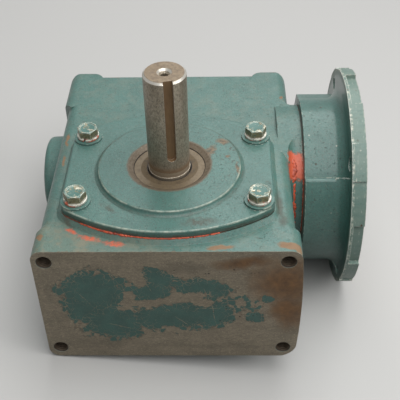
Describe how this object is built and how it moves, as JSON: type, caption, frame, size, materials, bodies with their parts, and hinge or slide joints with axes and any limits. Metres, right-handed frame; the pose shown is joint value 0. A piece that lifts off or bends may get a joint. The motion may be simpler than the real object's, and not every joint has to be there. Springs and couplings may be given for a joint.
{
  "type": "worm gear speed reducer",
  "caption": "Right-angle worm gear reducer: cast case, bolted output cover, keyed output shaft and round motor flange with a hollow keyed input.",
  "frame": {"origin": "on the output shaft's axis, in the plane of the cover's round boss where the shaft leaves", "axes": "+Z out along the output shaft, +X along the worm towards the motor flange, -Y out of the machined mounting face"},
  "size_m": [0.2406, 0.2257, 0.224],
  "materials": {
    "paint": "teal enamel, worn",
    "bare_iron": "machined cast iron",
    "steel": "ground",
    "worn_steel": "ground, dulled",
    "zinc": "zinc plated, worn",
    "black_oxide": "black oxide",
    "bronze": "machined bronze",
    "bearing": "ground and polished",
    "cage": "pressed",
    "seal": "matt",
    "sealant": "orange-red sealant"
  },
  "bodies": {
    "case": {"housing": "paint", "output_cover": "paint", "cover_gasket": "sealant", "cover_bolts": "zinc", "cover_lock_washers": "zinc", "oil_plugs": "zinc", "vent_plug": "zinc", "lower_bore_cap": "paint", "upper_bearing_shim": "steel", "lower_bearing_shim": "steel", "upper_bearing_cup": "bearing", "lower_bearing_cup": "bearing", "quill_bearing_outer_ring": "bearing", "end_bearing_outer_ring": "bearing", "output_seal_case": "steel", "output_seal_lip": "seal", "input_seal_case": "steel", "input_seal_lip": "seal", "motor_adapter": "paint", "adapter_gasket": "sealant", "adapter_screws": "black_oxide"},
    "output": {"output_shaft": "worn_steel", "wheel_key": "steel", "shaft_spacer": "steel", "worm_wheel_hub": "bare_iron", "worm_wheel_rim": "bronze", "wheel_rim_screws": "zinc", "upper_bearing_cone": "bearing", "lower_bearing_cone": "bearing"},
    "worm": {"worm_shaft": "steel", "quill_bearing_inner_ring": "bearing", "end_bearing_inner_ring": "bearing", "quill_snap_ring": "steel", "end_snap_ring": "steel"},
    "upper_rollers": {"upper_bearing_rollers": "bearing", "upper_bearing_cage": "cage"},
    "lower_rollers": {"lower_bearing_rollers": "bearing", "lower_bearing_cage": "cage"},
    "quill_balls": {"quill_bearing_balls": "bearing", "quill_bearing_cage": "cage"},
    "end_balls": {"end_bearing_balls": "bearing", "end_bearing_cage": "cage"}
  },
  "joints": [
    {"name": "output_spin", "type": "hinge", "parent": "case", "child": "output", "pos_m": [0, 0, 0], "axis": [0, 0, 1], "continuous": true},
    {"name": "worm_spin", "type": "hinge", "parent": "case", "child": "worm", "pos_m": [0, 0.06667, -0.0649], "axis": [1, 0, 0], "continuous": true},
    {"name": "upper_roller_travel", "type": "hinge", "parent": "case", "child": "upper_rollers", "pos_m": [0, 0, 0], "axis": [0, 0, 1], "continuous": true},
    {"name": "lower_roller_travel", "type": "hinge", "parent": "case", "child": "lower_rollers", "pos_m": [0, 0, 0], "axis": [0, 0, 1], "continuous": true},
    {"name": "quill_ball_travel", "type": "hinge", "parent": "case", "child": "quill_balls", "pos_m": [0, 0.06667, -0.0649], "axis": [1, 0, 0], "continuous": true},
    {"name": "end_ball_travel", "type": "hinge", "parent": "case", "child": "end_balls", "pos_m": [0, 0.06667, -0.0649], "axis": [1, 0, 0], "continuous": true}
  ],
  "couplings": [
    {"joint": "worm_spin", "follows": "output_spin", "ratio": 30},
    {"joint": "upper_roller_travel", "follows": "output_spin", "ratio": 0.439},
    {"joint": "lower_roller_travel", "follows": "output_spin", "ratio": 0.439},
    {"joint": "quill_ball_travel", "follows": "output_spin", "ratio": 11.916},
    {"joint": "end_ball_travel", "follows": "output_spin", "ratio": 11}
  ]
}
